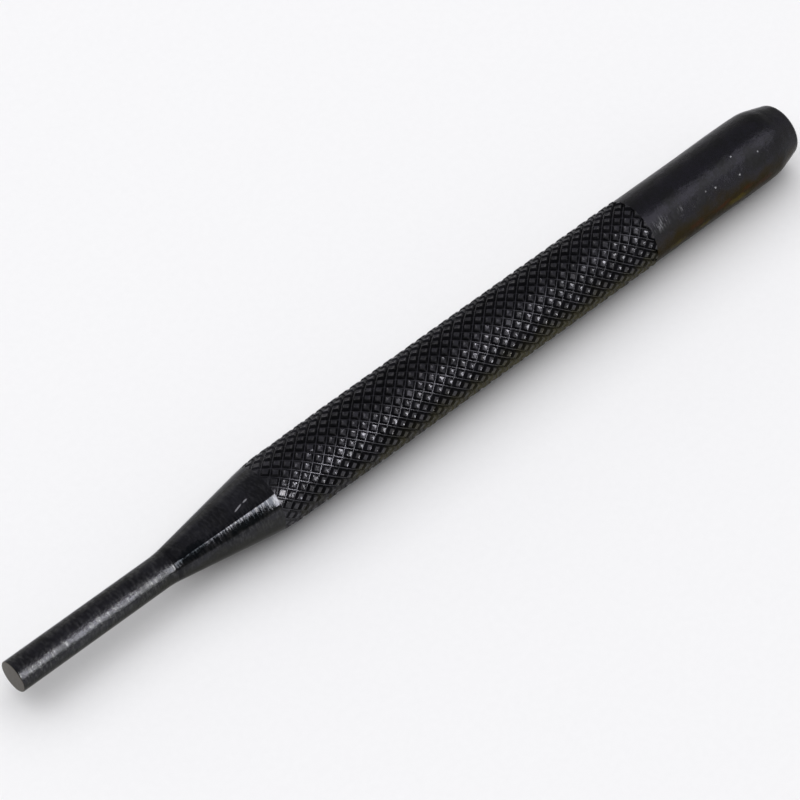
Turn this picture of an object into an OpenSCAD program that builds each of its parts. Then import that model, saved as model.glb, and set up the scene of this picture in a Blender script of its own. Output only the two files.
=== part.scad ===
// Pin punch: a round steel bar, turned down to a parallel pin at one end, knurled
// for the hand and chamfered at the struck end. It lies along X on the surface z = 0,
// with its pin toward -X, and x = 0 is the middle of its length.
// The bar is one piece of steel. Each node is one of its machined stretches, and
// neighbours meet face to face on a plane across the bar.

/* [Bar] */
// Length over all, from the tip of the pin to the struck face
tool_length = 150; // [110:1:200]
// Diameter of the bar that the punch is turned from
bar_d = 11.12; // [10:0.02:13]

/* [Drive pin] */
// Diameter of the parallel pin that pushes a roll pin or rivet out of its hole
pin_d = 5; // [3:0.1:7]
// Length of the parallel pin, from the tip to where it starts to swell
pin_length = 25.75; // [10:0.25:50]
// Radius broken on the edge of the tip
tip_edge_r = 0.2; // [0.1:0.05:0.6]

/* [Taper] */
// Radius of the hollow blend between the pin and the cone
root_blend_r = 16; // [6:1:30]
// Angle of the cone's side to the axis
cone_angle = 9; // [7:0.5:14]
// Radius of the crown that rounds the cone over into the bar
crown_r = 55; // [36:1:90]
// Angle that is left between the crown and the bar at the shoulder
shoulder_angle = 4; // [2:0.25:5]

/* [Knurled grip] */
// Height of the full diamonds above the bar
knurl_rise = 0.12; // [0.04:0.01:0.2]
// Depth of the grooves below the bar
groove_depth = 0.24; // [0.16:0.01:0.34]
// Length of one diamond along the bar
diamond_length = 2.17; // [1.9:0.01:3]
// Number of diamonds in one row round the bar
diamonds_round = 17; // [12:1:18]
// Share of a diamond's length and width that is flat on top
flat_share = 0.55; // [0.3:0.01:0.7]
// Length over which the diamonds rise from the shoulder to their full height
lead_in = 14; // [4:1:20]

/* [Plain shank] */
// Length of the plain shank, from the knurl to where the head starts to round over
shank_length = 25.6; // [10:0.05:40]

/* [Striking head] */
// Length of the chamfer, from its corner on the bar to the struck face
chamfer_length = 4.87; // [3:0.01:6]
// Angle of the chamfer's side to the axis
chamfer_angle = 16.3; // [10:0.1:24]
// Radius that rounds the chamfer's corner on the bar
chamfer_blend_r = 7.5; // [3:0.5:12]
// Radius that rounds the edge of the struck face
face_edge_r = 1.05; // [0.5:0.05:1.6]

/* [Hidden] */

steel_black = [0.13, 0.13, 0.15];
steel_bright = [0.2, 0.2, 0.22];
steel_grip = [0.09, 0.09, 0.1];
// Facets round a turned stretch when it is drawn
turned_facets = 96;
// Straight steps that draw an arc of a turned outline
arc_steps = 10;

bar_r = bar_d / 2;
pin_r = pin_d / 2;
knurl_r = bar_r + knurl_rise;
groove_r = bar_r - groove_depth;

// Along the bar, x runs from 0 at the tip to tool_length at the struck face.
// The taper is a hollow arc, a straight cone and a crowned arc that is steeper
// than the bar by shoulder_angle where it meets the bar.
root_end_x = pin_length + root_blend_r * sin(cone_angle);
root_end_r = pin_r + root_blend_r * (1 - cos(cone_angle));
crown_start_r = bar_r - crown_r * (cos(shoulder_angle) - cos(cone_angle));
crown_start_x = root_end_x + (crown_start_r - root_end_r) / tan(cone_angle);
shoulder_x = crown_start_x + crown_r * (sin(cone_angle) - sin(shoulder_angle));
crown_centre_x = shoulder_x + crown_r * sin(shoulder_angle);
crown_centre_r = bar_r - crown_r * cos(shoulder_angle);

// The crown is turned through the end of the knurl, so the grooves run out on it,
// where it has come down to their bottoms.
run_out_x = crown_centre_x - sqrt(pow(crown_r, 2) - pow(groove_r - crown_centre_r, 2));
run_out_angle = asin((crown_centre_x - run_out_x) / crown_r);

// The head: a blend, a straight chamfer, a rounded edge and the flat struck face
head_x = tool_length - chamfer_length - chamfer_blend_r * tan(chamfer_angle / 2);
edge_centre_x = tool_length - face_edge_r;
edge_centre_r = bar_r - (chamfer_length - face_edge_r) * tan(chamfer_angle)
    - face_edge_r / cos(chamfer_angle);
shank_x = head_x - shank_length;

// The knurl's lattice: rows of groove crossings, half a diamond apart
grip_length = shank_x - run_out_x;
rows = 2 * round(grip_length / diamond_length);
row_gap = grip_length / rows;
turn_step = 360 / diamonds_round;

// Points of an arc in [radius, x], from the angle a to the angle b. An angle of 0
// is straight out from the axis, and 90 is along +x.
function arc(centre, r, a, b) =
    [for (k = [0:arc_steps])
        let (t = a + (b - a) * k / arc_steps)
        [centre[0] + r * cos(t), centre[1] + r * sin(t)]];

// Radius of the diamonds' tops: on the crown they are turned off with it
function top_r(x) =
    x < shoulder_x
        ? crown_centre_r + sqrt(pow(crown_r, 2) - pow(crown_centre_x - x, 2))
        : bar_r + knurl_rise * min(1, (x - shoulder_x) / lead_in);

// A point of the knurl at x, turned by a from straight down
function on_bar(x, a, r) = [x, r * sin(a), -r * cos(a)];

function row_x(row) = run_out_x + row * row_gap;

// Rows are staggered by half a diamond. The crossing i of a row lies just before
// its diamond i, counted round the bar.
function crossing_a(row, i) = (i + (row % 2) / 2) * turn_step;
function diamond_a(row, i) = crossing_a(row, i) + turn_step / 2;

function crossing(row, i) = row * diamonds_round + i % diamonds_round;

// Corners of a diamond's flat top: 0 toward the pin, 1 onward round the bar,
// 2 toward the head, 3 back round the bar
function corner(row, i, k) = (rows + 1 + 4 * row + k) * diamonds_round + i % diamonds_round;

// The crossing of the next row or the row before that is a diamond's sharp corner
function sharp(row, i, side) = crossing(row + side, i + row % 2);

// Bars of a closed solid that lies along X are drawn about Z and laid down
module lie_down() {
    translate([-tool_length / 2, 0, knurl_r])
        rotate([0, 90, 0])
            children();
}

module turned(outline) {
    lie_down()
        rotate_extrude($fn = turned_facets)
            polygon(outline);
}

module drive_pin() {
    color(steel_bright)
        turned(concat(
            [[0, 0]],
            arc([pin_r - tip_edge_r, tip_edge_r], tip_edge_r, -90, 0),
            [[pin_r, pin_length], [0, pin_length]]));
}

module taper_cone() {
    color(steel_black)
        turned(concat(
            [[0, pin_length]],
            arc([pin_r + root_blend_r, pin_length], root_blend_r, 180, 180 - cone_angle),
            arc([crown_centre_r, crown_centre_x], crown_r, -cone_angle, -run_out_angle),
            [[0, run_out_x]]));
}

module knurled_grip() {
    crossings = [
        for (row = [0:rows], i = [0:diamonds_round - 1])
            on_bar(row_x(row), crossing_a(row, i), min(groove_r, top_r(row_x(row))))];
    corners = [
        for (row = [0:rows], k = [0:3], i = [0:diamonds_round - 1])
            let (
                along = [-1, 0, 1, 0][k] * flat_share * row_gap,
                round_share = [0, 1, 0, -1][k] * flat_share / 2,
                x = max(run_out_x, min(shank_x, row_x(row) + along)))
            on_bar(x, diamond_a(row, i) + round_share * turn_step, top_r(x))];
    tops = [
        for (row = [0:rows], i = [0:diamonds_round - 1], k = [1, 2])
            [corner(row, i, 0), corner(row, i, k + 1), corner(row, i, k)]];
    // Flanks toward the pin and toward the head, each side of a diamond in two triangles
    pin_flanks = [
        for (row = [1:rows], i = [0:diamonds_round - 1])
            let (s = sharp(row, i, -1), near = crossing(row, i), far = crossing(row, i + 1))
            each [
                [s, corner(row, i, 1), far],
                [s, corner(row, i, 0), corner(row, i, 1)],
                [s, corner(row, i, 3), corner(row, i, 0)],
                [s, near, corner(row, i, 3)]]];
    head_flanks = [
        for (row = [0:rows - 1], i = [0:diamonds_round - 1])
            let (s = sharp(row, i, 1), near = crossing(row, i), far = crossing(row, i + 1))
            each [
                [s, far, corner(row, i, 1)],
                [s, corner(row, i, 1), corner(row, i, 2)],
                [s, corner(row, i, 2), corner(row, i, 3)],
                [s, corner(row, i, 3), near]]];
    // The outline of an end, in order round the bar
    pin_end = [
        for (i = [0:diamonds_round - 1])
            each [crossing(0, i), corner(0, i, 3), corner(0, i, 0), corner(0, i, 1)]];
    head_end = [
        for (i = [diamonds_round - 1:-1:0])
            each [corner(rows, i, 1), corner(rows, i, 2), corner(rows, i, 3), crossing(rows, i)]];
    color(steel_grip)
        translate([-tool_length / 2, 0, knurl_r])
            polyhedron(
                points = concat(crossings, corners),
                faces = concat(tops, pin_flanks, head_flanks, [pin_end, head_end]),
                convexity = 4);
}

module plain_shank() {
    color(steel_black)
        lie_down()
            translate([0, 0, shank_x])
                cylinder(h = shank_length, r = bar_r, $fn = turned_facets);
}

module striking_head() {
    color(steel_black)
        turned(concat(
            [[0, head_x]],
            arc([bar_r - chamfer_blend_r, head_x], chamfer_blend_r, 0, chamfer_angle),
            arc([edge_centre_r, edge_centre_x], face_edge_r, chamfer_angle, 90),
            [[0, tool_length]]));
}

drive_pin();
taper_cone();
knurled_grip();
plain_shank();
striking_head();
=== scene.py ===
import math
import bmesh
import bpy
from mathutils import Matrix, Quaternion, Vector


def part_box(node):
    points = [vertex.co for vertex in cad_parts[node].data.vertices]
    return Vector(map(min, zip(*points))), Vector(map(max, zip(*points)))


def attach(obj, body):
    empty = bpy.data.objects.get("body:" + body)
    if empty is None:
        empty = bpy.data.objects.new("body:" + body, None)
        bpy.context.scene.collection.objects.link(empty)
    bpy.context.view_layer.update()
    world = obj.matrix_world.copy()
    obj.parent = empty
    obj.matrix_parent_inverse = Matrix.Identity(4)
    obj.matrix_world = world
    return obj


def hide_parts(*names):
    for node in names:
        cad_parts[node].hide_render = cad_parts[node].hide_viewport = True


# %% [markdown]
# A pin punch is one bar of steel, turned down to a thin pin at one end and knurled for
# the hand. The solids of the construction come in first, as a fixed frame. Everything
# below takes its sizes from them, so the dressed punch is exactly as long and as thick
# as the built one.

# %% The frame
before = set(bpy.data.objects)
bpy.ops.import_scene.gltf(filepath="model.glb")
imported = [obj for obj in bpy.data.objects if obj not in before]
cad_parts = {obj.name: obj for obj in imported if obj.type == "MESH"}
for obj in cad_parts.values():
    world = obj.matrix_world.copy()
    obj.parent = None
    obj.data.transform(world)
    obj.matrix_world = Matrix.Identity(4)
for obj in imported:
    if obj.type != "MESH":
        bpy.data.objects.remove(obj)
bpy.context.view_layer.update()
MM = 0.001

TIP_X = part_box("drive_pin")[0].x
PIN_END_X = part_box("drive_pin")[1].x
RUN_OUT_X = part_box("knurled_grip")[0].x
SHANK_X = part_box("knurled_grip")[1].x
HEAD_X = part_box("striking_head")[0].x
FACE_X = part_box("striking_head")[1].x


def half_height(node):
    low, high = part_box(node)
    return (high.z - low.z) / 2


PIN_R = half_height("drive_pin")
BAR_R = half_height("plain_shank")
KNURL_R = half_height("knurled_grip")
GROOVE_R = half_height("taper_cone")
AXIS_Z = (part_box("knurled_grip")[0].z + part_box("knurled_grip")[1].z) / 2
for name, radius in (("pin", PIN_R), ("bar", BAR_R), ("knurl", KNURL_R)):
    print(f"{name}: {2 * radius / MM:.2f} mm thick")

# %% [markdown]
# Every plain stretch of the punch was made on a lathe: a tool follows an outline while
# the bar turns. Blender could do the same with a Screw modifier on a curve, but then the
# poles at the two ends stay open. So a small helper spins the outline itself, ring by
# ring, and closes both ends on the axis. Edges where the outline turns sharply are
# marked sharp.

# %% A lathe for outlines
AROUND = 144
SHARP_TURN = math.radians(30)


def placed(name, data):
    """Makes an object of its data and links it into the scene."""
    item = bpy.data.objects.new(name, data)
    bpy.context.scene.collection.objects.link(item)
    return item


def turned(name, outline):
    """Spins an outline of (x, radius) points, given without its two ends on the axis."""
    mesh = bmesh.new()
    first = mesh.verts.new((outline[0][0], 0, AXIS_Z))
    last = mesh.verts.new((outline[-1][0], 0, AXIS_Z))
    rings = []
    for x, r in outline:
        ring = []
        for k in range(AROUND):
            angle = math.tau * k / AROUND
            ring.append(mesh.verts.new((x, r * math.sin(angle), AXIS_Z - r * math.cos(angle))))
        rings.append(ring)
    for k in range(AROUND):
        mesh.faces.new((first, rings[0][k], rings[0][k - 1]))
        mesh.faces.new((last, rings[-1][k - 1], rings[-1][k]))
        for near, far in zip(rings, rings[1:]):
            mesh.faces.new((near[k - 1], near[k], far[k], far[k - 1]))
    return finished(name, mesh)


def finished(name, mesh):
    """Turns a bmesh into a piece: faces outward, smooth apart from sharp edges."""
    bmesh.ops.recalc_face_normals(mesh, faces=mesh.faces)
    if mesh.calc_volume(signed=True) < 0:
        bmesh.ops.reverse_faces(mesh, faces=mesh.faces)
    for face in mesh.faces:
        face.smooth = True
    open_edges = sum(not edge.is_manifold for edge in mesh.edges)
    volume = mesh.calc_volume() / MM ** 3
    data = bpy.data.meshes.new(name)
    mesh.to_mesh(data)
    mesh.free()
    data.set_sharp_from_angle(angle=SHARP_TURN)
    piece = placed(name, data)
    print(f"{name}: {len(data.polygons)} faces, {volume:.1f} mm3, {open_edges} open edges")
    return piece


def arc(centre_x, centre_r, radius, start, end, steps):
    """Points of an arc in (x, radius). An angle of 0 is straight out, and 90 is along +x."""
    points = []
    for k in range(steps + 1):
        angle = math.radians(start + (end - start) * k / steps)
        points.append((centre_x + radius * math.sin(angle), centre_r + radius * math.cos(angle)))
    return points


def straight(x0, r0, x1, r1, step):
    """Points between two ends of a straight stretch, without the ends."""
    count = max(1, round(math.hypot(x1 - x0, r1 - r0) / step))
    return [(x0 + (x1 - x0) * k / count, r0 + (r1 - r0) * k / count) for k in range(1, count)]


# %% [markdown]
# The drive pin is ground parallel, with the edge of its flat tip just broken. That edge
# is an arc of a fifth of a millimetre, which is enough to catch a thin line of light.

# %% The drive pin
TIP_EDGE_R = 0.2 * MM
TIP_EDGE_STEPS = 6
PIN_RING_STEP = 0.5 * MM

tip_edge = arc(TIP_X + TIP_EDGE_R, PIN_R - TIP_EDGE_R, TIP_EDGE_R, -90, 0, TIP_EDGE_STEPS)
pin_wall = straight(TIP_X + TIP_EDGE_R, PIN_R, PIN_END_X, PIN_R, PIN_RING_STEP)
drive_pin = turned("drive_pin_steel", tip_edge + pin_wall + [(PIN_END_X, PIN_R)])

# %% [markdown]
# The taper starts with a hollow blend, so that the thin pin doesn't snap at its root. A
# straight cone follows, and a wide crown leads over into the bar. Where the grinding of
# the pin stopped, the wheel left a witness line round the root. It is only hundredths of
# a millimetre deep, but the highlight breaks on it, so it is cut into the outline.

# %% The taper
ROOT_BLEND_R = 16 * MM
CONE_ANGLE = 9
CROWN_R = 55 * MM
SHOULDER_ANGLE = 4
WITNESS_X = TIP_X + 27.7 * MM
WITNESS_DEPTH = 0.035 * MM
WITNESS_WIDTH = 0.16 * MM
ROOT_STEPS = 60
CROWN_STEPS = 20
TAPER_STEP = 0.4 * MM

root_end_x = PIN_END_X + ROOT_BLEND_R * math.sin(math.radians(CONE_ANGLE))
root_end_r = PIN_R + ROOT_BLEND_R * (1 - math.cos(math.radians(CONE_ANGLE)))
crown_centre_r = BAR_R - CROWN_R * math.cos(math.radians(SHOULDER_ANGLE))
crown_start_r = crown_centre_r + CROWN_R * math.cos(math.radians(CONE_ANGLE))
crown_start_x = root_end_x + (crown_start_r - root_end_r) / math.tan(math.radians(CONE_ANGLE))
crown_centre_x = crown_start_x + CROWN_R * math.sin(math.radians(CONE_ANGLE))
SHOULDER_X = crown_centre_x - CROWN_R * math.sin(math.radians(SHOULDER_ANGLE))
run_out_angle = math.degrees(math.asin((crown_centre_x - RUN_OUT_X) / CROWN_R))


def witness_line(x, r):
    """Lowers the outline where the grinding wheel stopped."""
    away = abs(x - WITNESS_X) / (WITNESS_WIDTH / 2)
    return (x, r - WITNESS_DEPTH * max(0, 1 - away))


blend = arc(PIN_END_X, PIN_R + ROOT_BLEND_R, ROOT_BLEND_R, 180, 180 - CONE_ANGLE, ROOT_STEPS)
cone = straight(root_end_x, root_end_r, crown_start_x, crown_start_r, TAPER_STEP)
crown = arc(crown_centre_x, crown_centre_r, CROWN_R, -CONE_ANGLE, -run_out_angle, CROWN_STEPS)
taper_outline = [witness_line(x, r) for x, r in blend] + cone + crown
taper = turned("taper_steel", taper_outline)
print(f"the crown meets the bar {(SHOULDER_X - TIP_X) / MM:.2f} mm from the tip")

# %% [markdown]
# Behind the knurl the bar stays plain. It isn't quite parallel: years of hammer blows
# have swollen it by some hundredths of a millimetre toward the head, which shows as a
# slight belly in the outline. Over the last stretch the radius rises as a squared sine,
# and just before the head it falls back to the bar's.

# %% The plain shank
SWELL = 0.07 * MM
SWELL_START_X = HEAD_X - 13 * MM
RISE_SHARE = 0.6
FALL_POWER = 12
SHANK_STEP = 0.5 * MM


def swollen_r(x):
    share = max(0, (x - SWELL_START_X) / (HEAD_X - SWELL_START_X))
    rise = math.sin(math.pi / 2 * min(1, share / RISE_SHARE)) ** 2
    return BAR_R + SWELL * rise * (1 - share ** FALL_POWER)


shank_wall = straight(SHANK_X, BAR_R, HEAD_X, BAR_R, SHANK_STEP)
shank_outline = [(x, swollen_r(x)) for x, r in shank_wall]
shank = turned("shank_steel", [(SHANK_X, BAR_R)] + shank_outline + [(HEAD_X, BAR_R)])

# %% [markdown]
# The struck end is chamfered, so that it doesn't spread into a mushroom with sharp
# splinters. Its corner on the bar and the edge of the face are both rounded, and the
# face itself is flat.

# %% The striking head
CHAMFER_ANGLE = 16.3
CHAMFER_LENGTH = 4.87 * MM
CHAMFER_BLEND_R = 7.5 * MM
FACE_EDGE_R = 1.05 * MM
CORNER_STEPS = 16
FACE_EDGE_STEPS = 20

chamfer_slope = math.tan(math.radians(CHAMFER_ANGLE))
edge_centre_x = FACE_X - FACE_EDGE_R
edge_centre_r = BAR_R - (CHAMFER_LENGTH - FACE_EDGE_R) * chamfer_slope
edge_centre_r -= FACE_EDGE_R / math.cos(math.radians(CHAMFER_ANGLE))
corner = arc(HEAD_X, BAR_R - CHAMFER_BLEND_R, CHAMFER_BLEND_R, 0, CHAMFER_ANGLE, CORNER_STEPS)
face_edge = arc(edge_centre_x, edge_centre_r, FACE_EDGE_R, CHAMFER_ANGLE, 90, FACE_EDGE_STEPS)
face_rings = straight(FACE_X, edge_centre_r, FACE_X, 0, SHANK_STEP)
chamfer = straight(*corner[-1], *face_edge[0], SHANK_STEP)
head = turned("striking_head_steel", corner + chamfer + face_edge + face_rings)

# %% [markdown]
# The knurl is the feature that takes most skill. Two hardened wheels are rolled into the
# turning bar and press left-hand and right-hand grooves into it. Steel flows up beside
# them, so each diamond between the grooves ends in a rim with a sunken, uneven middle.
# More than a thousand diamonds repeat, so one is modelled and the rest are placed by
# Geometry Nodes. It is built flat, as square rings in a unit cell whose edges are the
# centres of the four grooves: a groove bottom, a flank, a rounded rim and a fine grid on
# top. All sizes are shares of the cell.

# %% One diamond
BOTTOM_SHARE = 0.92
FLANK_SHARE = 0.56
RIM_SHARE = 0.46
TOP_CELLS = 5
RIM_DROP = 0.18


def square_ring(half, height, sides):
    """Points round a square, corner first: (p, q, height), with this many steps a side."""
    corners = [(-half, -half), (half, -half), (half, half), (-half, half)]
    points = []
    for k in range(4):
        (p0, q0), (p1, q1) = corners[k], corners[(k + 1) % 4]
        for j in range(sides):
            points.append((p0 + (p1 - p0) * j / sides, q0 + (q1 - q0) * j / sides, height))
    return points


def diamond_cell():
    """One cell of the knurl on the unit square, with its height as the third number."""
    mesh = bmesh.new()
    groove = [mesh.verts.new(p) for p in square_ring(1, 0, 1)]
    bottom = [mesh.verts.new(p) for p in square_ring(BOTTOM_SHARE, 0, 1)]
    flank = [mesh.verts.new(p) for p in square_ring(FLANK_SHARE, 1 - RIM_DROP, TOP_CELLS)]
    grid = {}
    for i in range(TOP_CELLS + 1):
        for j in range(TOP_CELLS + 1):
            p = RIM_SHARE * (2 * i / TOP_CELLS - 1)
            q = RIM_SHARE * (2 * j / TOP_CELLS - 1)
            grid[i, j] = mesh.verts.new((p, q, 1))
    last = TOP_CELLS
    rim = [grid[i, 0] for i in range(last)] + [grid[last, j] for j in range(last)]
    rim += [grid[last - i, last] for i in range(last)] + [grid[0, last - j] for j in range(last)]
    for k in range(4):
        after = (k + 1) % 4
        mesh.faces.new((groove[k], groove[after], bottom[after], bottom[k]))
        side = [flank[(k * last + j) % len(flank)] for j in range(last + 1)]
        mesh.faces.new([bottom[k], bottom[after]] + side[::-1])
    for k in range(len(rim)):
        after = (k + 1) % len(rim)
        mesh.faces.new((flank[k], flank[after], rim[after], rim[k]))
    for i in range(last):
        for j in range(last):
            mesh.faces.new((grid[i, j], grid[i + 1, j], grid[i + 1, j + 1], grid[i, j + 1]))
    data = bpy.data.meshes.new("diamond_cell")
    mesh.to_mesh(data)
    mesh.free()
    print(f"one diamond: {len(data.polygons)} faces")
    return placed("diamond_cell", data)


cell = diamond_cell()

# %% [markdown]
# Node trees built in a script soon get hard to read. A few small helpers keep them short:
# they add a node, set its plain inputs, link the others, and hand the node back. An input
# may be a number, another node, or one output of a node.

# %% Helpers for node trees
FLOAT = "NodeSocketFloat"
VECTOR = "NodeSocketVector"
COLOUR = "NodeSocketColor"
SOCKET_TYPES = {float: FLOAT, int: "NodeSocketInt", tuple: COLOUR}


def connect(tree, socket, value):
    """Links a node's first output or a socket to this input, or sets a plain value."""
    if isinstance(value, bpy.types.Node):
        value = value.outputs[0]
    if isinstance(value, bpy.types.NodeSocket):
        tree.links.new(value, socket)
    else:
        socket.default_value = value


def add(tree, kind, inputs=None, **settings):
    node = tree.nodes.new(kind)
    for name, value in settings.items():
        setattr(node, name, value)
    for key, value in (inputs or {}).items():
        connect(tree, node.inputs[key], value)
    return node


def sums(tree, operation, *values):
    """A Math node with its values in order."""
    return add(tree, "ShaderNodeMath", dict(enumerate(values)), operation=operation)


def vectors(tree, operation, *values):
    """A Vector Math node with its values in order."""
    return add(tree, "ShaderNodeVectorMath", dict(enumerate(values)), operation=operation)


def parts(tree, vector):
    """The X, Y and Z of a vector."""
    return add(tree, "ShaderNodeSeparateXYZ", {0: vector}).outputs


def plus(tree, first, second):
    return sums(tree, "ADD", first, second)


def minus(tree, first, second):
    return sums(tree, "SUBTRACT", first, second)


def times(tree, first, second):
    return sums(tree, "MULTIPLY", first, second)


def map_range(tree, value, low, high, to_low=0.0, to_high=1.0, kind="LINEAR"):
    names = ("Value", "From Min", "From Max", "To Min", "To Max")
    inputs = dict(zip(names, (value, low, high, to_low, to_high)))
    return add(tree, "ShaderNodeMapRange", inputs, interpolation_type=kind)


def noise(tree, places, scale, detail=3.0, roughness=0.55):
    inputs = {"Vector": places, "Scale": scale, "Detail": detail, "Roughness": roughness}
    return add(tree, "ShaderNodeTexNoise", inputs).outputs[0]


def emptied(owner):
    """The node tree of a material or a world, emptied."""
    owner.use_nodes = True
    owner.node_tree.nodes.clear()
    return owner.node_tree


def new_group(name, kind, inputs, outputs):
    """A node group. Each input has a default, or the type of its socket where it has none."""
    tree = bpy.data.node_groups.new(name, kind)
    for label, default in inputs.items():
        socket_type = SOCKET_TYPES.get(type(default), default)
        socket = tree.interface.new_socket(label, in_out="INPUT", socket_type=socket_type)
        if socket_type != default:
            socket.default_value = default
    for label, socket_type in outputs.items():
        tree.interface.new_socket(label, in_out="OUTPUT", socket_type=socket_type)
    given = tree.nodes.new("NodeGroupInput").outputs
    result = tree.nodes.new("NodeGroupOutput").inputs
    return tree, given, result


# %% [markdown]
# The knurl's sizes come first. The number of rows follows from the length between its two
# ends. All of them will be named inputs of a node tree, so that it could knurl another
# bar too. The seed is fixed, so the punch comes out the same each time.

# %% The knurl's sizes
DIAMOND_LENGTH = 2.17 * MM
GROOVE_BELOW = 0.12 * MM

rows = 2 * round((SHANK_X - RUN_OUT_X) / DIAMOND_LENGTH)
row_gap = (SHANK_X - RUN_OUT_X) / rows
knurl_sizes = {
    "Rows": rows,
    "Diamonds Round": 17,
    "Row Gap": row_gap,
    "Start X": RUN_OUT_X,
    "Axis Height": AXIS_Z,
    "Groove Radius": GROOVE_R - GROOVE_BELOW,
    "Bar Radius": BAR_R,
    "Full Radius": KNURL_R,
    "Shoulder X": SHOULDER_X,
    "Lead In": 14 * MM,
    "Crown Radius": CROWN_R,
    "Crown Centre X": crown_centre_x,
    "Crown Centre Radius": crown_centre_r,
    "Turn": math.radians(-1.5),
    "Sunken Middle": 0.10 * MM,
    "Uneven": 0.19 * MM,
    "Seed": 7,
}
print(f"{rows} rows of diamonds, each {2 * row_gap / MM:.3f} mm long")

# %% [markdown]
# The tree gets each size as an input. The diamond and its steel are handed in as well.

# %% The inputs of the knurl's tree
knurl_inputs = {"Diamond": "NodeSocketObject", "Steel": "NodeSocketMaterial", **knurl_sizes}
knurl_tree, given, result = new_group(
    "knurl_of_diamonds", "GeometryNodeTree", knurl_inputs, {"Geometry": "NodeSocketGeometry"}
)
print(f"{knurl_tree.name}: {len(knurl_inputs)} named inputs")

# %% [markdown]
# The cells are laid out flat first: so many rows along the bar and so many diamonds round
# it, with every other row moved on by half a cell. On the flat sheet x counts rows and y
# counts half cells. Each instance keeps random numbers of its own and the place of its
# middle, and Realize Instances hands both down to its corners.

# %% Laying the diamonds out
CELL_TURN = (0.0, 0.0, math.pi / 4)
CELL_SCALE = (math.sqrt(0.5), math.sqrt(0.5), 1.0)


def stored(tree, geometry, name, value, data_type, domain):
    """Stores a value on the geometry under a name."""
    inputs = {"Geometry": geometry, "Name": name, "Value": value}
    return add(tree, "GeometryNodeStoreNamedAttribute", inputs, data_type=data_type, domain=domain)


def flat_layout(tree, given):
    index = add(tree, "GeometryNodeInputIndex")
    all_rows = plus(tree, given["Rows"], 1.0)
    count = times(tree, all_rows, given["Diamonds Round"])
    row = sums(tree, "FLOOR", sums(tree, "DIVIDE", index, given["Diamonds Round"]))
    column = minus(tree, index, times(tree, row, given["Diamonds Round"]))
    odd = sums(tree, "MODULO", row, 2.0)
    across = plus(tree, times(tree, column, 2.0), odd)
    place = add(tree, "ShaderNodeCombineXYZ", {"X": row, "Y": across})
    points = add(tree, "GeometryNodePoints", {"Count": count, "Position": place})
    diamond = add(tree, "GeometryNodeObjectInfo", {"Object": given["Diamond"]}).outputs["Geometry"]
    inputs = {"Points": points, "Instance": diamond, "Rotation": CELL_TURN, "Scale": CELL_SCALE}
    sheet = add(tree, "GeometryNodeInstanceOnPoints", inputs)
    own = add(tree, "FunctionNodeRandomValue", {"Seed": given["Seed"]}, data_type="FLOAT_VECTOR")
    sheet = stored(tree, sheet, "own", own, "FLOAT_VECTOR", "INSTANCE")
    middle = add(tree, "GeometryNodeInputPosition")
    sheet = stored(tree, sheet, "middle", middle, "FLOAT_VECTOR", "INSTANCE")
    return add(tree, "GeometryNodeRealizeInstances", {"Geometry": sheet})


sheet = flat_layout(knurl_tree, given)
print(f"the layout takes {len(knurl_tree.nodes)} nodes")

# %% [markdown]
# The first and the last row reach past the ends of the knurl, and what lies outside is
# deleted. As long as the sheet is flat, its z is the height inside each diamond, from 0
# in the groove to 1 on top. That height is stored for the wear on the rims and for the
# painted shade on the flanks.

# %% Square ends and stored heights
END_SLACK = 0.01


def inside_ends(tree, given, sheet):
    """Deletes the faces that lie past either end of the knurl."""
    x = parts(tree, add(tree, "GeometryNodeInputPosition"))["X"]
    early = sums(tree, "LESS_THAN", x, -END_SLACK)
    late = sums(tree, "GREATER_THAN", x, plus(tree, given["Rows"], END_SLACK))
    inputs = {"Geometry": sheet, "Selection": plus(tree, early, late)}
    return add(tree, "GeometryNodeDeleteGeometry", inputs, domain="FACE")


def with_height(tree, sheet):
    height = parts(tree, add(tree, "GeometryNodeInputPosition"))["Z"]
    return stored(tree, sheet, "height", height, "FLOAT", "POINT")


sheet = with_height(knurl_tree, inside_ends(knurl_tree, given, sheet))
print(f"with square ends it has {len(knurl_tree.nodes)} nodes")

# %% [markdown]
# No two rolled diamonds are alike. The middle of each top is sunk, in one more than in the
# next, noise roughens it, and whole diamonds are lifted or lowered a little. All of this
# fades out down the flanks, because the wheels press every groove to the same depth.

# %% Uneven tops
BOWL_FLAT_SHARE = 0.16
BOWL_RIM_SHARE = 0.95 * RIM_SHARE
LEAST_SUNK_SHARE = 0.35
MOST_SUNK_SHARE = 1.25
BUMPS_PER_CELL = 4.2
LIFT_SHARE = 0.3
UNLIFTED_SHARE = 0.6
TOP_STARTS_SHARE = 0.7


def named(tree, name):
    return add(tree, "GeometryNodeInputNamedAttribute", {"Name": name}, data_type="FLOAT_VECTOR")


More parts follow.
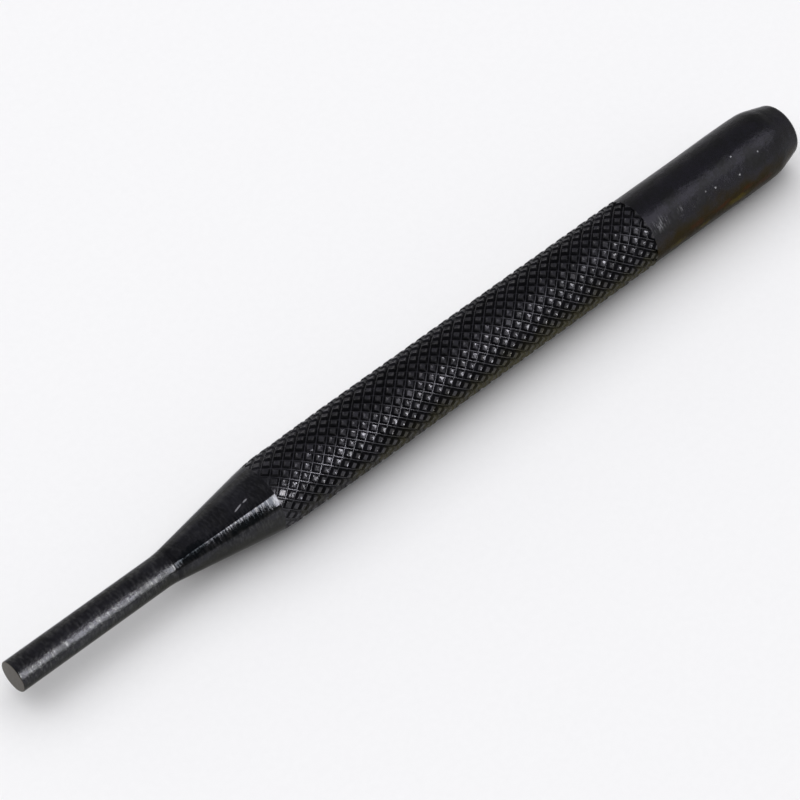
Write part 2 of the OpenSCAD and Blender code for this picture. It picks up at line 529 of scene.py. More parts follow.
def top_change(tree, given, here, flat):
    """How far outward a corner leaves its place on a perfect diamond."""
    own = parts(tree, named(tree, "own"))
    off = parts(tree, vectors(tree, "SUBTRACT", here, named(tree, "middle")))
    spread = plus(tree, sums(tree, "ABSOLUTE", off["X"]), sums(tree, "ABSOLUTE", off["Y"]))
    bowl = map_range(tree, spread, BOWL_FLAT_SHARE, BOWL_RIM_SHARE, 1.0, 0.0, kind="SMOOTHSTEP")
    depth = map_range(tree, own["X"], 0.0, 1.0, LEAST_SUNK_SHARE, MOST_SUNK_SHARE)
    sunken = times(tree, times(tree, bowl, depth), given["Sunken Middle"])
    rough = noise(tree, here, BUMPS_PER_CELL, detail=2.0, roughness=0.6)
    rough = times(tree, minus(tree, rough, 0.5), given["Uneven"])
    lift = minus(tree, own["Y"], UNLIFTED_SHARE)
    lift = times(tree, times(tree, lift, given["Uneven"]), LIFT_SHARE)
    change = minus(tree, plus(tree, rough, lift), sunken)
    on_top = map_range(tree, flat["Z"], TOP_STARTS_SHARE, 1.0)
    return times(tree, change, on_top)


print(f"tops sink by up to {MOST_SUNK_SHARE * knurl_sizes['Sunken Middle'] / MM:.3f} mm")

# %% [markdown]
# Each corner then gets its radius, which grows from the bottom of the groove to the top of
# the diamond. Behind the shoulder the tops rise to their full height over the length that
# the wheels took to sink in. The taper was turned after the knurl, so no corner before the
# shoulder stands out of the arc of its crown.

# %% The radius of each corner


def crown_limit(tree, given, x):
    """The crown's radius before the shoulder, and a metre more than any behind it."""
    reach = sums(tree, "MINIMUM", minus(tree, x, given["Crown Centre X"]), 0.0)
    whole_square = times(tree, given["Crown Radius"], given["Crown Radius"])
    square = minus(tree, whole_square, times(tree, reach, reach))
    crown_r = plus(tree, given["Crown Centre Radius"], sums(tree, "SQRT", square))
    before = sums(tree, "LESS_THAN", x, given["Shoulder X"])
    behind = minus(tree, 1.0, before)
    return plus(tree, times(tree, crown_r, before), behind)


def corner_radius(tree, given, x, height, change):
    rise = minus(tree, given["Full Radius"], given["Bar Radius"])
    lead = map_range(tree, minus(tree, x, given["Shoulder X"]), 0.0, given["Lead In"])
    full = plus(tree, given["Bar Radius"], times(tree, rise, lead))
    flank = times(tree, minus(tree, full, given["Groove Radius"]), height)
    radius = plus(tree, given["Groove Radius"], flank)
    radius = plus(tree, radius, change)
    radius = sums(tree, "MINIMUM", radius, given["Full Radius"])
    return sums(tree, "MINIMUM", radius, crown_limit(tree, given, x))


print(f"grooves go down to a radius of {knurl_sizes['Groove Radius'] / MM:.2f} mm")

# %% [markdown]
# Sine and cosine roll the sheet up round the axis of the bar, and Merge by Distance welds
# the edges that cells share. The tree ends in Realize Instances and Set Material, because
# an export drops what is still an instance.

# %% Rolling the sheet up
WELD_DISTANCE = 0.004 * MM


def rolled_up(tree, given, sheet):
    """Moves every corner of the flat sheet to its place on the bar."""
    here = add(tree, "GeometryNodeInputPosition")
    flat = parts(tree, here)
    row = sums(tree, "MINIMUM", sums(tree, "MAXIMUM", flat["X"], 0.0), given["Rows"])
    x = plus(tree, times(tree, row, given["Row Gap"]), given["Start X"])
    half_cell = sums(tree, "DIVIDE", math.pi, given["Diamonds Round"])
    angle = plus(tree, times(tree, flat["Y"], half_cell), given["Turn"])
    change = top_change(tree, given, here, flat)
    radius = corner_radius(tree, given, x, flat["Z"], change)
    y = times(tree, radius, sums(tree, "SINE", angle))
    drop = times(tree, radius, sums(tree, "COSINE", angle))
    z = minus(tree, given["Axis Height"], drop)
    place = add(tree, "ShaderNodeCombineXYZ", {"X": x, "Y": y, "Z": z})
    return add(tree, "GeometryNodeSetPosition", {"Geometry": sheet, "Position": place})


rolled = rolled_up(knurl_tree, given, sheet)
weld = {"Geometry": rolled, "Distance": WELD_DISTANCE}
welded = add(knurl_tree, "GeometryNodeMergeByDistance", weld)
whole = add(knurl_tree, "GeometryNodeRealizeInstances", {"Geometry": welded})
steel = add(knurl_tree, "GeometryNodeSetMaterial", {"Geometry": whole, "Material": given["Steel"]})
connect(knurl_tree, result["Geometry"], steel)
print(f"{knurl_tree.name}: {len(knurl_tree.nodes)} nodes")

# %% [markdown]
# The tree now runs on an empty mesh, as a modifier. Its inputs are set by the
# identifiers of their sockets, before the result is first worked out. The finished mesh
# is taken from it as plain faces, and the modifier goes away with its carrier. The two
# ends are closed with a flat face each, so that the knurl is a closed solid.

# %% The knurled grip
END_REACH = 0.02 * MM

knurl_steel = bpy.data.materials.new("knurl_steel")
knurl_values = {"Diamond": cell, "Steel": knurl_steel, **knurl_sizes}


def run_tree(tree, values):
    """Runs a Geometry Nodes tree on an empty mesh and returns the result as a new mesh."""
    carrier = placed("carrier", bpy.data.meshes.new("carrier"))
    modifier = carrier.modifiers.new("nodes", "NODES")
    modifier.node_group = tree
    for socket in tree.interface.items_tree:
        if socket.in_out == "INPUT":
            modifier[socket.identifier] = values[socket.name]
    depsgraph = bpy.context.evaluated_depsgraph_get()
    made = bpy.data.meshes.new_from_object(carrier.evaluated_get(depsgraph))
    carrier.modifiers.remove(modifier)
    bpy.data.objects.remove(carrier)
    return made


def lies_at(edge, x):
    return edge.is_boundary and all(abs(vert.co.x - x) < END_REACH for vert in edge.verts)


grip_mesh = bmesh.new()
grip_mesh.from_mesh(run_tree(knurl_tree, knurl_values))
for end_x in (RUN_OUT_X, SHANK_X):
    rim = [edge for edge in grip_mesh.edges if lies_at(edge, end_x)]
    bmesh.ops.holes_fill(grip_mesh, edges=rim, sides=0)
grip = finished("knurled_grip_steel", grip_mesh)
bpy.data.objects.remove(cell)

# %% [markdown]
# Materials come next. All of the punch is one steel with a black oxide on it, a skin a
# thousandth of a millimetre thick, grown in a hot salt bath. It keeps every mark in the
# steel, so the stretches differ mostly in how smooth they are under it. The patterns read
# Object coordinates, and all pieces share one frame, so no pattern jumps where two of
# them meet. The first group turns those coordinates into places on the bar: how far
# along, and how far round in degrees from straight up toward the front.

# %% Places on the bar


def shader_group(name, inputs, outputs, fill):
    """Makes a shader group. A function fills it with nodes and says what goes out."""
    tree, given, result = new_group(name, "ShaderNodeTree", inputs, outputs)
    for label, value in fill(tree, given).items():
        connect(tree, result[label], value)
    print(f"{name}: {len(tree.nodes)} nodes")
    return tree


def fill_places(tree, given):
    here = add(tree, "ShaderNodeTexCoord").outputs["Object"]
    point = parts(tree, here)
    up = minus(tree, point["Z"], given["Axis Height"])
    front = times(tree, point["Y"], -1.0)
    scaled = add(tree, "ShaderNodeVectorMath", {0: here, "Scale": 1 / MM}, operation="SCALE")
    return {
        "Places mm": scaled,
        "Along mm": sums(tree, "DIVIDE", point["X"], MM),
        "Round deg": sums(tree, "DEGREES", sums(tree, "ARCTAN2", front, up)),
    }


places_group = shader_group(
    "places_on_the_bar",
    {"Axis Height": AXIS_Z},
    {"Places mm": VECTOR, "Along mm": FLOAT, "Round deg": FLOAT},
    fill_places,
)

# %% [markdown]
# The oxide is never one even black. Soft patches a few millimetres wide are a little
# bluer and smoother, and finer clouds lie inside them. Two Noise textures are added and
# sharpened into one mask. It mixes two tones, and it is handed out as well, so that the
# roughness of a material can follow the same patches.

# %% Mottled oxide
PATCHES_SHARE = 0.55
CLOUDS_SHARE = 0.45
MASK_EDGE = (0.38, 0.62)


def mixed(tree, factor, first, second):
    """Mixes two colours. A Mix node has sockets for each type, of which one set is enabled."""
    node = add(tree, "ShaderNodeMix", data_type="RGBA")
    shown = [socket for socket in node.inputs if socket.enabled]
    for socket, value in zip(shown, (factor, first, second)):
        connect(tree, socket, value)
    return next(socket for socket in node.outputs if socket.enabled)


def fill_oxide(tree, given):
    patches = noise(tree, given["Places mm"], given["Patches per mm"])
    clouds = noise(tree, given["Places mm"], given["Clouds per mm"], 4.0, 0.65)
    patches = times(tree, patches, PATCHES_SHARE)
    clouds = times(tree, clouds, CLOUDS_SHARE)
    mask = map_range(tree, plus(tree, patches, clouds), *MASK_EDGE, kind="SMOOTHSTEP")
    return {"Color": mixed(tree, mask, given["Tone"], given["Bluer Tone"]), "Patches": mask}


mottled_oxide = shader_group(
    "mottled_oxide",
    {
        "Places mm": VECTOR,
        "Tone": COLOUR,
        "Bluer Tone": COLOUR,
        "Patches per mm": 0.3,
        "Clouds per mm": 2.5,
    },
    {"Color": COLOUR, "Patches": FLOAT},
    fill_oxide,
)

# %% [markdown]
# A lathe tool leaves fine rings, closer together than the eye can count, and a grinding
# wheel shorter, finer ones. They are noise that is squeezed along the bar and stretched
# round it, so that each mark runs a long way round and then fades. The rings go to Bump,
# because they are thousandths of a millimetre deep and far too many for a mesh.

# %% Turning marks


def fill_marks(tree, given):
    per_mm = given["Marks per mm"]
    round_bar = times(tree, per_mm, given["Length Share"])
    squeeze = add(tree, "ShaderNodeCombineXYZ", {"X": per_mm, "Y": round_bar, "Z": round_bar})
    squeezed = vectors(tree, "MULTIPLY", given["Places mm"], squeeze)
    return {"Height": noise(tree, squeezed, 1.0, roughness=0.6)}


turning_marks = shader_group(
    "turning_marks",
    {"Places mm": VECTOR, "Marks per mm": 4.0, "Length Share": 0.04},
    {"Height": FLOAT},
    fill_marks,
)

# %% [markdown]
# Stains, scratches, nicks and rings all have a place on the bar and a size. One group
# makes the mask for any of them: an oval at a distance along the bar and an angle round
# it, with a soft edge or a hard one, frayed by noise if it is a stain. A ring is an oval
# so wide that it goes all the way round. The rim lies a hair over 1, because a hard edge
# would otherwise be a range of no width.

# %% A mark at its place
MARK_RIM = 1.001
MARK_SIZES = {
    "At mm": 0.0,
    "At deg": 0.0,
    "Half Length mm": 1.0,
    "Half Turn deg": 10.0,
    "Soft Share": 0.5,
    "Fray": 0.0,
    "Fray per mm": 1.0,
    "Tilt": 0.0,
}


def fill_mark(tree, given):
    turn = minus(tree, given["Round deg"], given["At deg"])
    turn = sums(tree, "WRAP", turn, 180.0, -180.0)
    along = minus(tree, given["Along mm"], given["At mm"])
    turn = minus(tree, turn, times(tree, along, given["Tilt"]))
    along_share = sums(tree, "DIVIDE", along, given["Half Length mm"])
    turn_share = sums(tree, "DIVIDE", turn, given["Half Turn deg"])
    reach = add(tree, "ShaderNodeCombineXYZ", {"X": along_share, "Y": turn_share})
    away = vectors(tree, "LENGTH", reach).outputs["Value"]
    fray = noise(tree, given["Places mm"], given["Fray per mm"], 4.0)
    fray = times(tree, minus(tree, fray, 0.5), given["Fray"])
    away = plus(tree, away, fray)
    solid = minus(tree, 1.0, given["Soft Share"])
    return {"Mask": map_range(tree, away, solid, MARK_RIM, 1.0, 0.0, kind="SMOOTHSTEP")}


mark_at = shader_group(
    "mark_at_its_place",
    {"Places mm": VECTOR, "Along mm": 0.0, "Round deg": 0.0, **MARK_SIZES},
    {"Mask": FLOAT},
    fill_mark,
)

# %% [markdown]
# A punch is handled, dropped and struck, so the oxide wears through where it stands
# highest: on edges and on the tops of the knurl. The mask of this group starts from a
# height, lets noise eat into it, and keeps only what stands above a limit.

# %% Rubbed steel


def fill_rubbed(tree, given):
    patches = noise(tree, given["Places mm"], given["Patches per mm"], 5.0, 0.65)
    eaten = times(tree, minus(tree, patches, 0.5), given["Patchiness"])
    height = plus(tree, given["Height"], eaten)
    top = plus(tree, given["Limit"], given["Softness"])
    return {"Mask": map_range(tree, height, given["Limit"], top, kind="SMOOTHSTEP")}


rubbed_steel = shader_group(
    "rubbed_steel",
    {
        "Places mm": VECTOR,
        "Height": 0.0,
        "Limit": 0.5,
        "Softness": 0.2,
        "Patches per mm": 1.5,
        "Patchiness": 0.5,
    },
    {"Mask": FLOAT},
    fill_rubbed,
)

# %% [markdown]
# Every steel on the punch is built on the same start: a Principled shader that is mostly
# metallic, with its places on the bar at hand. The oxide reflects only a thirtieth of
# the light, so its base colour is very dark, and the little that it does reflect shows
# the room like a dull mirror.

# %% The start of each steel
EDGE_TINT = (0.6, 0.6, 0.6, 1)


def steel_start(material, metallic):
    """Empties a material and gives its tree, its Principled shader and its places."""
    tree = emptied(material)
    inputs = {"Metallic": metallic, "Specular Tint": EDGE_TINT}
    shader = add(tree, "ShaderNodeBsdfPrincipled", inputs)
    add(tree, "ShaderNodeOutputMaterial", {"Surface": shader})
    places = add(tree, "ShaderNodeGroup", node_tree=places_group).outputs
    return tree, shader, places


def use(tree, places, group, **inputs):
    """Places a group. Its inputs are named as in the group, with _ for a space."""
    sockets = {name.replace("_", " "): value for name, value in inputs.items()}
    sockets["Places mm"] = places["Places mm"]
    return add(tree, "ShaderNodeGroup", sockets, node_tree=group)


def strokes(tree, places, per_mm, length_share):
    node = use(tree, places, turning_marks, Marks_per_mm=per_mm, Length_Share=length_share)
    return node.outputs["Height"]


def mark(tree, places, sizes):
    """The mask of one mark, from its sizes in the order of MARK_SIZES."""
    inputs = {name: places[name] for name in ("Places mm", "Along mm", "Round deg")}
    inputs.update(zip(MARK_SIZES, sizes))
    return add(tree, "ShaderNodeGroup", inputs, node_tree=mark_at).outputs["Mask"]


def strongest(tree, masks):
    result = masks[0]
    for mask in masks[1:]:
        result = sums(tree, "MAXIMUM", result, mask)
    return result


def marks(tree, places, rows):
    """One mask for several marks."""
    return strongest(tree, [mark(tree, places, sizes) for sizes in rows])


def layered(tree, colour, *layers):
    """Lays tints over a colour, each given as (mask, share, tint)."""
    for mask, share, tint in layers:
        colour = mixed(tree, times(tree, mask, share), colour, tint)
    return colour


def finish_steel(tree, shader, colour, rough, layers):
    """Links colour and roughness, and layers of (height, depth in mm) one after another."""
    connect(tree, shader.inputs["Base Color"], colour)
    connect(tree, shader.inputs["Roughness"], rough)
    normal = None
    for height, depth in layers:
        inputs = {"Strength": 1.0, "Distance": depth * MM, "Height": height}
        if normal is not None:
            inputs["Normal"] = normal
        normal = add(tree, "ShaderNodeBump", inputs)
    connect(tree, shader.inputs["Normal"], normal)
    print(f"a steel of {len(tree.nodes)} nodes")


# %% [markdown]
# The pin and its taper were ground, so they are the smoothest stretch, and the cone is
# calmer still than the pin. The tip has been driven against other steel so often that it
# is bare and dull. A dark ring runs round where the wheel stopped. On the cone's front
# the wheel tore short strokes into the oxide and burnt two patches nearly black, and
# higher up lie two short, light scratches. Each mark is one row of sizes.

# %% Marks on the pin and the cone
FULL_TURN = 1000.0
OLIVE_SIDE = (-50.0, 105.0, 60.0, 44.0, 0.9, 1.2, 0.4)
DARK_RINGS = (
    (-46.95, 0.0, 0.60, FULL_TURN, 0.6, 0.9, 1.5),
    (-54.6, 0.0, 0.20, FULL_TURN, 1.0, 1.6, 1.5),
)
TORN_AREA = (-38.0, 46.0, 14.0, 26.0, 0.5, 0.5, 0.8)
BURNT_PATCHES = (
    (-35.2, 51.0, 3.5, 11.0, 0.5, 0.6, 1.6),
    (-44.2, 37.0, 3.1, 22.0, 0.4, 1.0, 2.2),
)
SCRATCHES = (
    (-35.3, 18.5, 0.95, 1.9, 0.5, 0.7, 3.0, -3.2),
    (-33.9, 15.8, 0.50, 1.8, 0.5, 0.7, 3.0, -1.7),
)

# %% [markdown]
# The colour is laid on in the order in which it came: the oxide, glinting strokes, an
# olive tint along the lower front, the dark marks, and last what is scratched and bare.
# Roughness and relief are both strong on the pin and fade over its root, toward the calm
# cone.

# %% Pin steel
CALM_MM = -46.0
GLINT = (0.088, 0.089, 0.089, 1)
OLIVE = (0.030, 0.030, 0.023, 1)
RING_BLACK = (0.010, 0.010, 0.012, 1)
TORN_BLACK = (0.006, 0.007, 0.009, 1)
BURNT_BLACK = (0.005, 0.007, 0.009, 1)
SCRATCH_GREY = (0.50, 0.50, 0.50, 1)
BARE = (0.135, 0.126, 0.112, 1)
TORN_DEPTH_MM = 0.0008


def toward_cone(tree, places, on_pin, on_cone):
    """A value that changes over the root of the pin."""
    return map_range(tree, places["Along mm"], PIN_END_X / MM, CALM_MM, on_pin, on_cone)


def pin_colour(tree, places, oxide, torn, tip_wear):
    glint = map_range(tree, strokes(tree, places, 3.2, 0.30), 0.48, 0.64)
    glint = times(tree, glint, toward_cone(tree, places, 0.6, 0.3))
    return layered(
        tree,
        oxide,
        (glint, 1.0, GLINT),
        (mark(tree, places, OLIVE_SIDE), 0.8, OLIVE),
        (marks(tree, places, DARK_RINGS), 0.65, RING_BLACK),
        (torn, 0.85, TORN_BLACK),
        (marks(tree, places, BURNT_PATCHES), 0.8, BURNT_BLACK),
        (marks(tree, places, SCRATCHES), 1.0, SCRATCH_GREY),
        (tip_wear, 1.0, BARE),
    )


def pin_roughness(tree, places, patches, tip_wear):
    smooth = map_range(tree, patches, 0.0, 1.0, 0.19, 0.14)
    calm = plus(tree, smooth, toward_cone(tree, places, 0.0, -0.11))
    return plus(tree, calm, times(tree, tip_wear, 0.2))


def pin_relief(tree, places):
    """Layers of (height, depth in mm), of which only a share is left on the cone."""
    wavy = strokes(tree, places, 1.2, 0.20)
    fine = strokes(tree, places, 3.5, 0.10)
    grain = noise(tree, places["Places mm"], 2.5, 4.0, 0.6)
    layers = []
    for height, depth, left in ((wavy, 0.06, 0.12), (fine, 0.05, 0.10), (grain, 0.06, 0.01)):
        calmed = times(tree, height, toward_cone(tree, places, 1.0, left))
        layers.append((calmed, depth))
    return layers


def fill_pin_steel(material):
    tree, shader, places = steel_start(material, metallic=0.85)
    oxide = use(
        tree, places, mottled_oxide, Tone=(0.020, 0.020, 0.021, 1),
        Bluer_Tone=(0.034, 0.034, 0.039, 1), Patches_per_mm=0.25, Clouds_per_mm=2.2,
    ).outputs
    torn = map_range(tree, strokes(tree, places, 3.0, 0.14), 0.46, 0.53)
    torn = times(tree, torn, mark(tree, places, TORN_AREA))
    tip = map_range(tree, places["Along mm"], TIP_X / MM + 0.12, TIP_X / MM + 0.04)
    tip_wear = use(
        tree, places, rubbed_steel, Height=tip, Limit=0.35, Softness=0.3,
        Patches_per_mm=2.2, Patchiness=0.7,
    ).outputs["Mask"]
    colour = pin_colour(tree, places, oxide["Color"], torn, tip_wear)
    rough = pin_roughness(tree, places, oxide["Patches"], tip_wear)
    finish_steel(tree, shader, colour, rough, [*pin_relief(tree, places), (torn, TORN_DEPTH_MM)])


pin_steel = bpy.data.materials.new("pin_steel")
fill_pin_steel(pin_steel)

# %% [markdown]
# The knurl was rolled, not cut, so its tops are raw. Its flanks are darkened with
# painted shade, a dark colour standing in for the shade that falls into the grooves
# between the diamonds. Hands have rubbed the rims of the diamonds, where the oxide is
# thin and a little brown. The height inside each diamond comes from the tree as an
# attribute, so the wear can follow the rims also on the crown, where the tops lie lower.

# %% Knurl steel
RUBBED_RIM = (0.085, 0.080, 0.075, 1)
# Painted shade for the flanks of the diamonds, dark where the grooves would be in shade.
FLANK_PAINTED_SHADE = (0.007, 0.007, 0.009, 1)
KNURL_BROWN = (0.062, 0.057, 0.034, 1)
KNURL_BROWN_SIDE = (20.0, 105.0, 60.0, 42.0, 0.9, 1.2, 0.35)


def fill_knurl_steel(material):
    tree, shader, places = steel_start(material, metallic=0.8)
    oxide = use(
        tree, places, mottled_oxide, Tone=(0.030, 0.030, 0.033, 1),
        Bluer_Tone=(0.056, 0.055, 0.063, 1), Patches_per_mm=0.35, Clouds_per_mm=3.0,
    ).outputs
    height = add(tree, "ShaderNodeAttribute", attribute_name="height").outputs["Fac"]
    rim_wear = use(
        tree, places, rubbed_steel, Height=height, Limit=0.95, Softness=0.25,
        Patches_per_mm=1.4, Patchiness=0.6,
    ).outputs["Mask"]
    # The flanks between groove bottom and rim get painted shade, standing in for the shade in the
    # grooves.
    above_groove = map_range(tree, height, 0.02, 0.15)
    below_rim = map_range(tree, height, 0.95, 0.75)
    colour = layered(
        tree,
        oxide["Color"],
        (rim_wear, 0.5, RUBBED_RIM),
        (times(tree, above_groove, below_rim), 0.6, FLANK_PAINTED_SHADE),
        (mark(tree, places, KNURL_BROWN_SIDE), 1.0, KNURL_BROWN),
    )
    rough = map_range(tree, height, 0.0, 1.0, 0.24, 0.20)
    grain = noise(tree, places["Places mm"], 6.0, 4.0, 0.7)
    fine = strokes(tree, places, 6.0, 0.1)
    finish_steel(tree, shader, colour, rough, [(grain, 0.020), (fine, 0.003)])


fill_knurl_steel(knurl_steel)

# %% [markdown]
# The plain shank was left as it came from the lathe and the bath, so it is the dullest.
# Its lower front is tinted brown, with reddish and golden spots where the salt dried. A
# few shiny strokes lie beside the knurl. Bright nicks and a struck face worn bare
# complete it.

# %% Marks on the shank
SHANK_BROWN_SIDE = (55.0, 102.0, 30.0, 48.0, 0.6, 0.9, 0.4)
RED_SPOTS = (
    (52.0, 84.0, 2.6, 9.0, 1.0, 1.6),
    (57.2, 83.0, 2.2, 9.0, 1.0, 1.6),
    (62.4, 82.0, 1.9, 8.0, 1.0, 1.6),
    (66.0, 92.0, 2.6, 9.0, 1.0, 1.6),
)
GOLD_SPOTS = (
    (47.6, 97.0, 2.2, 9.0, 1.0, 1.6),
    (53.6, 98.0, 1.8, 7.0, 1.0, 1.6),
    (60.4, 94.0, 3.6, 11.0, 1.0, 1.6),
)
SHINY_PATCHES = (
    (45.3, 43.0, 2.6, 14.0, 1.0, 0.6),
    (49.6, 43.5, 0.9, 8.0, 1.0, 0.6),
)
NICK_SIZES = (0.20, 2.0, 0.7, 0.6, 4.0)
NICKS = (
    (61.8, 21.8, 0.9),
    (61.5, 52.9, 1.0),
    (66.15, 39.7, 0.6),
    (56.75, 47.4, 0.7),
    (54.9, 43.3, 0.4),
)

# %% [markdown]
# The colour is laid on in the same way as on the pin. Where the lower front is tinted
# brown, the shader is fully metallic, so that the tint colours the shine too.

# %% Shank steel
SHANK_BROWN = (0.027, 0.020, 0.008, 1)
RED_BROWN = (0.050, 0.020, 0.008, 1)
GOLD = (0.085, 0.064, 0.004, 1)
SHINY_GREY = (0.14, 0.14, 0.15, 1)
NICK_GREY = (0.40, 0.40, 0.42, 1)


def shank_colour(tree, places, oxide, brown, face_wear):
    shiny = map_range(tree, strokes(tree, places, 4.5, 0.12), 0.50, 0.60)
    shiny = times(tree, marks(tree, places, SHINY_PATCHES), shiny)
    nicks = []
    for along, turn, share in NICKS:
        nick = mark(tree, places, (along, turn, *NICK_SIZES))
        nicks.append(times(tree, nick, share))
    return layered(
        tree,
        oxide,
        (brown, 1.0, SHANK_BROWN),
        (marks(tree, places, RED_SPOTS), 0.8, RED_BROWN),
        (marks(tree, places, GOLD_SPOTS), 0.8, GOLD),
        (shiny, 1.0, SHINY_GREY),
        (strongest(tree, nicks), 1.0, NICK_GREY),
        (face_wear, 1.0, BARE),
    )


def fill_shank_steel(material):
    tree, shader, places = steel_start(material, metallic=0.8)
    oxide = use(
        tree, places, mottled_oxide, Tone=(0.018, 0.018, 0.019, 1),
        Bluer_Tone=(0.025, 0.024, 0.030, 1), Patches_per_mm=0.3, Clouds_per_mm=2.6,
    ).outputs
    brown = mark(tree, places, SHANK_BROWN_SIDE)
    face = map_range(tree, places["Along mm"], FACE_X / MM - 0.5, FACE_X / MM - 0.05)
    face_wear = use(
        tree, places, rubbed_steel, Height=face, Limit=0.45, Softness=0.35,
        Patches_per_mm=1.1, Patchiness=0.8,
    ).outputs["Mask"]
    colour = shank_colour(tree, places, oxide["Color"], brown, face_wear)
    connect(tree, shader.inputs["Metallic"], map_range(tree, brown, 0.0, 1.0, 0.8, 1.0))
    rough = map_range(tree, oxide["Patches"], 0.0, 1.0, 0.31, 0.25)
    waves = noise(tree, places["Places mm"], 0.8, 2.0, 0.5)
    fine = strokes(tree, places, 5.0, 0.05)
    grain = noise(tree, places["Places mm"], 5.0, 4.0, 0.7)
    finish_steel(tree, shader, colour, rough, [(waves, 0.08), (fine, 0.008), (grain, 0.010)])


shank_steel = bpy.data.materials.new("shank_steel")
fill_shank_steel(shank_steel)

# %% [markdown]
# Each piece now takes the place of its machined stretch, rides on the one body that the
# punch has, and gets its steel.

# %% Pieces in their places
PIECES = (
    (drive_pin, "drive_pin", "pin_steel", pin_steel),
    (taper, "taper_cone", "pin_steel", pin_steel),
    (grip, "knurled_grip", "knurl_steel", knurl_steel),
    (shank, "plain_shank", "shank_steel", shank_steel),
    (head, "striking_head", "shank_steel", shank_steel),
)
for piece, node, slot, material in PIECES:
    piece.data.materials.clear()
    piece.data.materials.append(material)
    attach(piece, "root")
    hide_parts(node)
print(f"{len(PIECES)} pieces stand for the {len(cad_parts)} nodes")

# %% [markdown]
# The punch lies on a pale table. It is one big quad, far wider than the view, with a
# faint tooth in its paint. It belongs to the stage and not to the part.

# %% The table
TABLE_HALF = 3.0
CORNERS = ((-1, -1), (1, -1), (1, 1), (-1, 1))
TOOTH_PER_M = 900.0
PAINT = (0.86, 0.86, 0.86, 1)
PALER_PAINT = (0.89, 0.89, 0.89, 1)

table_mesh = bmesh.new()
table_mesh.faces.new([
    table_mesh.verts.new((x * TABLE_HALF, y * TABLE_HALF, 0.0)) for x, y in CORNERS
])
table_data = bpy.data.meshes.new("pale_table")
table_mesh.to_mesh(table_data)
table_mesh.free()
table = placed("pale_table", table_data)


def fill_table_paint(material):
    tree = emptied(material)
    here = add(tree, "ShaderNodeTexCoord").outputs["Object"]
    tooth = noise(tree, here, TOOTH_PER_M)
    shader = add(tree, "ShaderNodeBsdfDiffuse", {"Color": mixed(tree, tooth, PAINT, PALER_PAINT)})
    add(tree, "ShaderNodeOutputMaterial", {"Surface": shader})


table_paint = bpy.data.materials.new("table_paint")
fill_table_paint(table_paint)
table_data.materials.append(table_paint)
print(f"the table is {2 * TABLE_HALF} m wide")

# %% [markdown]
# Oxide mirrors the room more than it shows a colour of its own, so the room matters. It
# is a gradient on the world. Two stretches of wall are lit, a window at the far left and
# a white wall at the right, and a glow runs along the horizon. The ceiling is dimmer,
# which makes the top of each round stretch look dark, and it is darkest toward the camera.

# %% The room
DIM_WALL = 0.30
CEILING = 0.29
WALL_TOP_DEG = 12.0
CEILING_DEG = 48.0
SKIRT = 0.80
SKIRT_TOP_DEG = 10.0
WINDOW_WALL = 0.80
WINDOW_SIDE = (-0.34, 0.94, 0.0)
WINDOW_EDGE = (0.50, 0.80)
WHITE_WALL = 0.70
WHITE_SIDE = (0.966, -0.259, 0.0)
WHITE_EDGE = (0.50, 0.82)
CAMERA_SHADE = 0.12
CAMERA_SIDE = (-0.62, -0.38, 0.69)
CAMERA_EDGE = (0.80, 0.95)
WARM_WALL = (1.0, 0.99, 0.93, 1)
COOL_CEILING = (0.97, 0.96, 1.10, 1)


def facing(tree, direction, side, edge, far, near):
    """Fades from one value to another, the nearer a direction comes to one side."""
    share = vectors(tree, "DOT_PRODUCT", direction, side).outputs["Value"]
    return map_range(tree, share, *edge, far, near, kind="SMOOTHSTEP")


def fill_room(world):
    tree = emptied(world)
    direction = add(tree, "ShaderNodeTexCoord").outputs["Generated"]
    climb = sums(tree, "DEGREES", sums(tree, "ARCSINE", parts(tree, direction)["Z"]))
    level = vectors(tree, "MULTIPLY", direction, (1.0, 1.0, 0.0))
    level = vectors(tree, "NORMALIZE", level)
    window = facing(tree, level, WINDOW_SIDE, WINDOW_EDGE, DIM_WALL, WINDOW_WALL)
    white = facing(tree, level, WHITE_SIDE, WHITE_EDGE, DIM_WALL, WHITE_WALL)
    skirt = map_range(tree, climb, 0.0, SKIRT_TOP_DEG, SKIRT, 0.0, kind="SMOOTHSTEP")
    wall = strongest(tree, [window, white, skirt])
    light = map_range(tree, climb, WALL_TOP_DEG, CEILING_DEG, wall, CEILING, kind="SMOOTHSTEP")
    shade = facing(tree, direction, CAMERA_SIDE, CAMERA_EDGE, 1.0, CAMERA_SHADE)
    light = times(tree, light, shade)
    tint = mixed(tree, map_range(tree, climb, WALL_TOP_DEG, CEILING_DEG), WARM_WALL, COOL_CEILING)
    glow = add(tree, "ShaderNodeBackground", {"Color": tint, "Strength": light})
    add(tree, "ShaderNodeOutputWorld", {"Surface": glow})


room = bpy.data.worlds.new("room")
fill_room(room)
bpy.context.scene.world = room
bpy.context.scene.view_settings.view_transform = "Standard"
print(f"{room.name}: {len(room.node_tree.nodes)} nodes")

# %% [markdown]
# Three soft lights finish the studio. The key light stands half a metre from the pin, at
# the front, and draws the long streak on every round stretch. A broad, weaker one lights
# the shank. Both are seen in the steel alone, so that they throw no hard shadow on the
# table. The fill light hangs overhead for the table, and the steel doesn't mirror it.

# %% The lights
PIN_MIDDLE = Vector(((TIP_X + PIN_END_X) / 2, 0, AXIS_Z))
SHANK_MIDDLE = Vector(((SHANK_X + HEAD_X) / 2, 0, AXIS_Z))
OVER_ALL = Vector((0, 0, AXIS_Z))


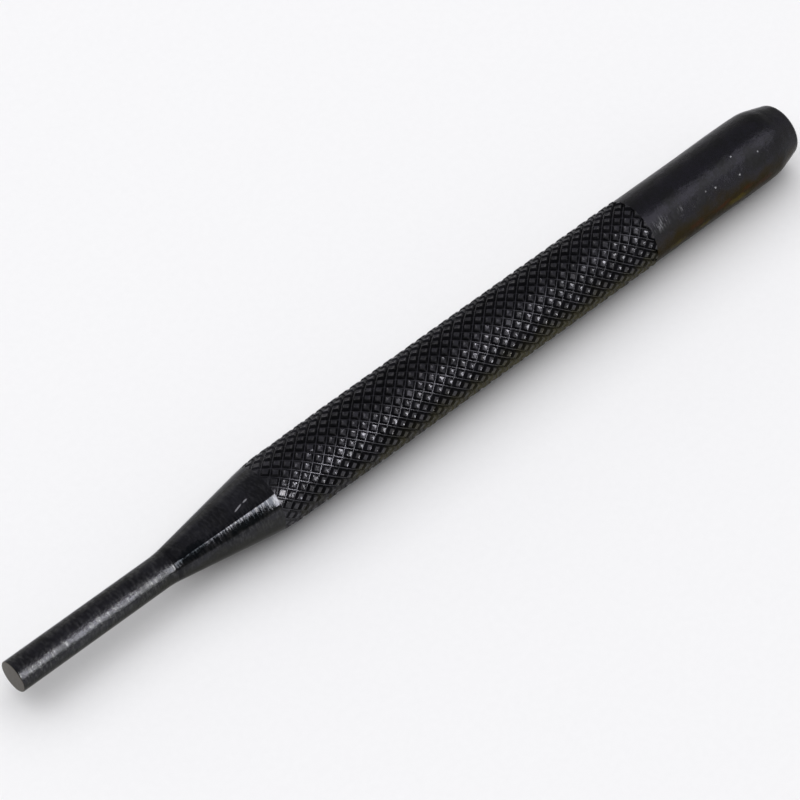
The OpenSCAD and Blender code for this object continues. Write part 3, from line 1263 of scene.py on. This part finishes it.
def toward(azimuth, elevation):
    """A direction from the punch, in degrees: azimuth from +X toward +Y, elevation upward."""
    a, e = math.radians(azimuth), math.radians(elevation)
    return Vector((math.cos(e) * math.cos(a), math.cos(e) * math.sin(a), math.sin(e)))


def soft_light(name, aim, direction, distance, size, brightness, roll=0.0):
    """A soft box aimed at a point. Its brightness is how bright it looks beside white paper."""
    light = bpy.data.lights.new(name, "AREA")
    light.shape = "RECTANGLE"
    light.size, light.size_y = size
    light.energy = brightness * math.pi * size[0] * size[1]
    lamp = placed(name, light)
    lamp.location = aim + direction * distance
    turn = direction.to_track_quat("Z", "Y") @ Quaternion((0, 0, 1), math.radians(roll))
    lamp.rotation_euler = turn.to_euler()
    print(f"{name}: {light.energy:.1f} W at {distance} m")
    return lamp


key = soft_light(
    "key_light", PIN_MIDDLE, toward(-70.9, 31),
    distance=0.5, size=(0.127, 0.31), brightness=17.0, roll=2,
)
broad = soft_light(
    "broad_light", SHANK_MIDDLE, toward(-38, 49), distance=0.8, size=(0.42, 0.42), brightness=1.6,
)
fill = soft_light(
    "fill_light", OVER_ALL, toward(90, 80), distance=2.0, size=(4.0, 4.0), brightness=1.4,
)
key.visible_diffuse = False
broad.visible_diffuse = False
fill.visible_glossy = False

# %% [markdown]
# The camera stands where the photographer's did: high at the front left, a little over
# half a metre away with a long lens. Its direction was fitted to the photograph from the
# outline of the bar and from the roundness of its ends.

# %% The camera
VIEW = Vector((0.416, 0.458, -0.786)).normalized()
AIM = Vector((-3.3 * MM, 0, AXIS_Z))
CAMERA_DISTANCE = 577.4 * MM
CAMERA_ROLL = math.radians(-0.08)
LENS_MM = 180
SENSOR_MM = 36

camera_data = bpy.data.cameras.new("camera")
camera_data.lens = LENS_MM
camera_data.sensor_width = SENSOR_MM
camera = placed("camera", camera_data)
camera.location = AIM - VIEW * CAMERA_DISTANCE
rolled_view = VIEW.to_track_quat("-Z", "Y") @ Quaternion((0, 0, 1), CAMERA_ROLL)
camera.rotation_euler = rolled_view.to_euler()
bpy.context.scene.camera = camera
print(f"camera at {tuple(round(c, 4) for c in camera.location)}")
